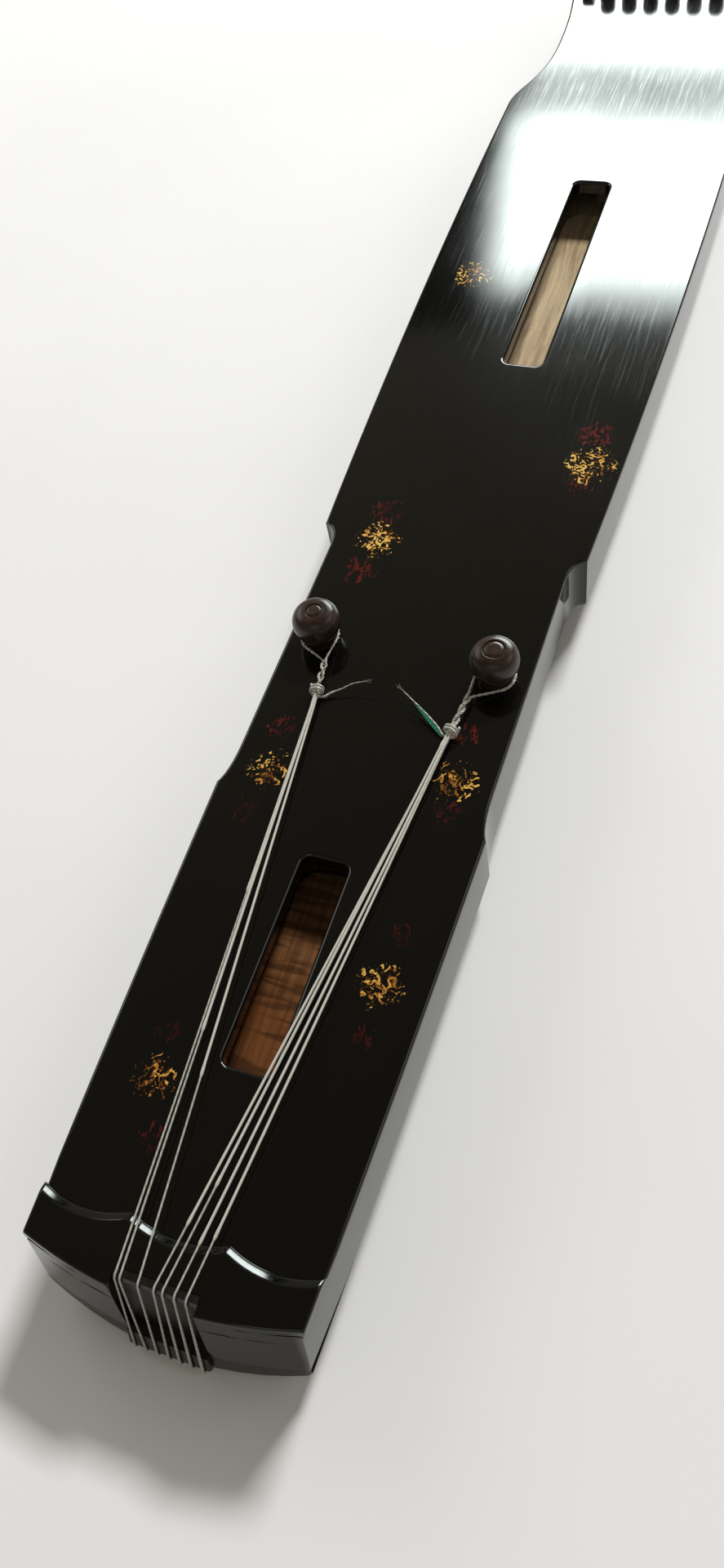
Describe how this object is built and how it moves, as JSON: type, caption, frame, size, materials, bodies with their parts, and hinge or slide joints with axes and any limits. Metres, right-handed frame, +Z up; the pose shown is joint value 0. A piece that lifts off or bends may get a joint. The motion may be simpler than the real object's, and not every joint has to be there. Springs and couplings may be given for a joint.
{
  "type": "guqin zither",
  "caption": "Guqin zither lying face down: hollow lacquered body with a waisted outline, sound holes, goose feet with the strings tied round them, tuning pegs and peg guards.",
  "frame": {"origin": "under the middle of the whole instrument, at the level of the strings that it lies on", "axes": "+X from the tail towards the head, +Z up through the bottom board, the thickest string on the -Y side"},
  "size_m": [1.2228, 0.1894, 0.0883],
  "materials": {
    "lacquer": "gloss black lacquer with gold and red flecks",
    "dark_wood": "dark reddish brown, polished",
    "pale_wood": "bare planed wood",
    "string": "ivory white wrapped string",
    "silk_cord": "twisted dark red silk",
    "green_thread": "fine green thread over the string's end",
    "shell": "pearly shell"
  },
  "bodies": {
    "instrument": {"soundboard": "lacquer", "bottom_board": "lacquer", "tail_support": "lacquer", "tail_gate_plate": "dark_wood", "tail_nut": "dark_wood", "crown_corner_left": "dark_wood", "crown_corner_right": "dark_wood", "bridge": "dark_wood", "bridge_plate": "dark_wood", "position_stud_1": "shell", "position_stud_2": "shell", "position_stud_3": "shell", "position_stud_4": "shell", "position_stud_5": "shell", "position_stud_6": "shell", "position_stud_7": "shell", "position_stud_8": "shell", "position_stud_9": "shell", "position_stud_10": "shell", "position_stud_11": "shell", "position_stud_12": "shell", "position_stud_13": "shell", "round_sound_post": "pale_wood", "square_sound_post": "pale_wood", "goose_foot_left": "dark_wood", "goose_foot_right": "dark_wood", "peg_guard_left": "dark_wood", "peg_guard_right": "dark_wood", "tuning_cord_1": "silk_cord", "tuning_cord_2": "silk_cord", "tuning_cord_3": "silk_cord", "tuning_cord_4": "silk_cord", "tuning_cord_5": "silk_cord", "tuning_cord_6": "silk_cord", "tuning_cord_7": "silk_cord", "string_4": "string", "string_3": "string", "string_2": "string", "string_1": "string", "string_5": "string", "string_6": "string", "string_7": "string", "foot_winding_right": "string", "foot_winding_left": "string", "string_end_right": "green_thread", "string_end_left": "string"},
    "turning_peg_1": {"peg_1": "dark_wood"},
    "turning_peg_2": {"peg_2": "dark_wood"},
    "turning_peg_3": {"peg_3": "dark_wood"},
    "turning_peg_4": {"peg_4": "dark_wood"},
    "turning_peg_5": {"peg_5": "dark_wood"},
    "turning_peg_6": {"peg_6": "dark_wood"},
    "turning_peg_7": {"peg_7": "dark_wood"}
  },
  "joints": [
    {"name": "peg_1_turn", "type": "hinge", "parent": "instrument", "child": "turning_peg_1", "pos_m": [0.55143, -0.0582, 0.0563], "axis": [0, 0, 1], "continuous": true},
    {"name": "peg_2_turn", "type": "hinge", "parent": "instrument", "child": "turning_peg_2", "pos_m": [0.55143, -0.0388, 0.0563], "axis": [0, 0, 1], "continuous": true},
    {"name": "peg_3_turn", "type": "hinge", "parent": "instrument", "child": "turning_peg_3", "pos_m": [0.55143, -0.0194, 0.0563], "axis": [0, 0, 1], "continuous": true},
    {"name": "peg_4_turn", "type": "hinge", "parent": "instrument", "child": "turning_peg_4", "pos_m": [0.55143, 0, 0.0563], "axis": [0, 0, 1], "continuous": true},
    {"name": "peg_5_turn", "type": "hinge", "parent": "instrument", "child": "turning_peg_5", "pos_m": [0.55143, 0.0194, 0.0563], "axis": [0, 0, 1], "continuous": true},
    {"name": "peg_6_turn", "type": "hinge", "parent": "instrument", "child": "turning_peg_6", "pos_m": [0.55143, 0.0388, 0.0563], "axis": [0, 0, 1], "continuous": true},
    {"name": "peg_7_turn", "type": "hinge", "parent": "instrument", "child": "turning_peg_7", "pos_m": [0.55143, 0.0582, 0.0563], "axis": [0, 0, 1], "continuous": true}
  ]
}
